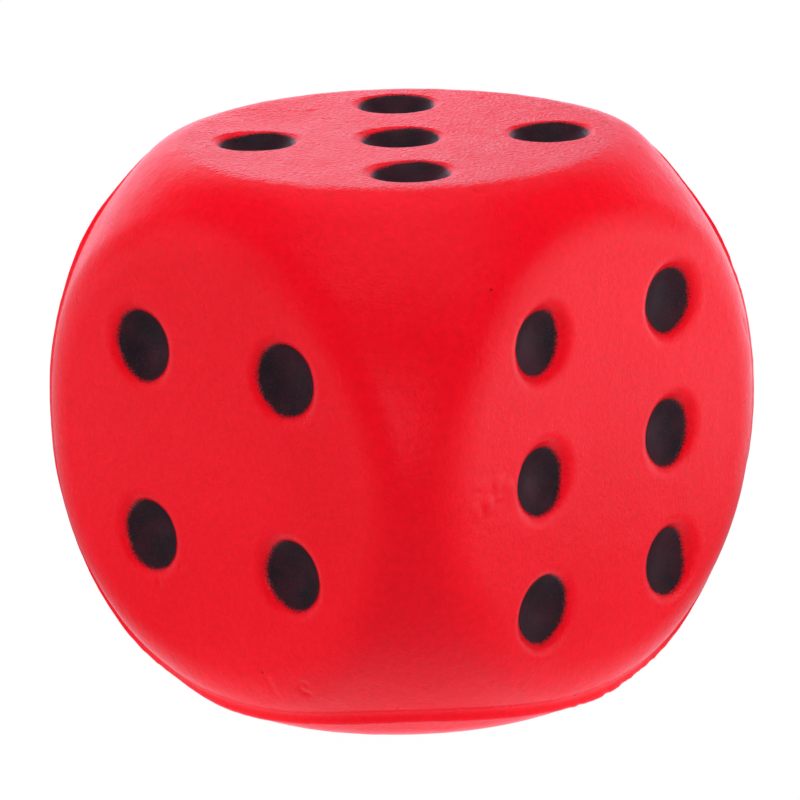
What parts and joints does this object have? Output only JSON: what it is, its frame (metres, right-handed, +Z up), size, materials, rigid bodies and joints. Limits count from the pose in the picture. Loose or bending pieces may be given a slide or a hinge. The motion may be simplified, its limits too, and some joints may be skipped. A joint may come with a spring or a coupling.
{
  "type": "foam playing die",
  "caption": "Large soft foam playing die with rounded corners, flat faces and dished pips sprayed black, for lawn and party games.",
  "frame": {"origin": "middle of the flat face with two pips, which the die stands on", "axes": "+Z up towards the five, +X towards the six, -Y towards the four; the three faces +Y and the one faces -X"},
  "size_m": [0.089, 0.089, 0.089],
  "materials": {
    "skin_foam": "matt, fine orange-peel skin of integral-skin polyurethane foam",
    "core_foam": "open, low-density polyurethane foam, sealed inside the skin",
    "pip_paint": "thin matt black spray paint with a soft, speckled edge"
  },
  "bodies": {
    "root": {"foam_core": "core_foam", "outer_skin": "skin_foam", "pip_one_1": "pip_paint", "pip_two_1": "pip_paint", "pip_two_2": "pip_paint", "pip_three_1": "pip_paint", "pip_three_2": "pip_paint", "pip_three_3": "pip_paint", "pip_four_1": "pip_paint", "pip_four_2": "pip_paint", "pip_four_3": "pip_paint", "pip_four_4": "pip_paint", "pip_five_1": "pip_paint", "pip_five_2": "pip_paint", "pip_five_3": "pip_paint", "pip_five_4": "pip_paint", "pip_five_5": "pip_paint", "pip_six_1": "pip_paint", "pip_six_2": "pip_paint", "pip_six_3": "pip_paint", "pip_six_4": "pip_paint", "pip_six_5": "pip_paint", "pip_six_6": "pip_paint"}
  },
  "joints": []
}
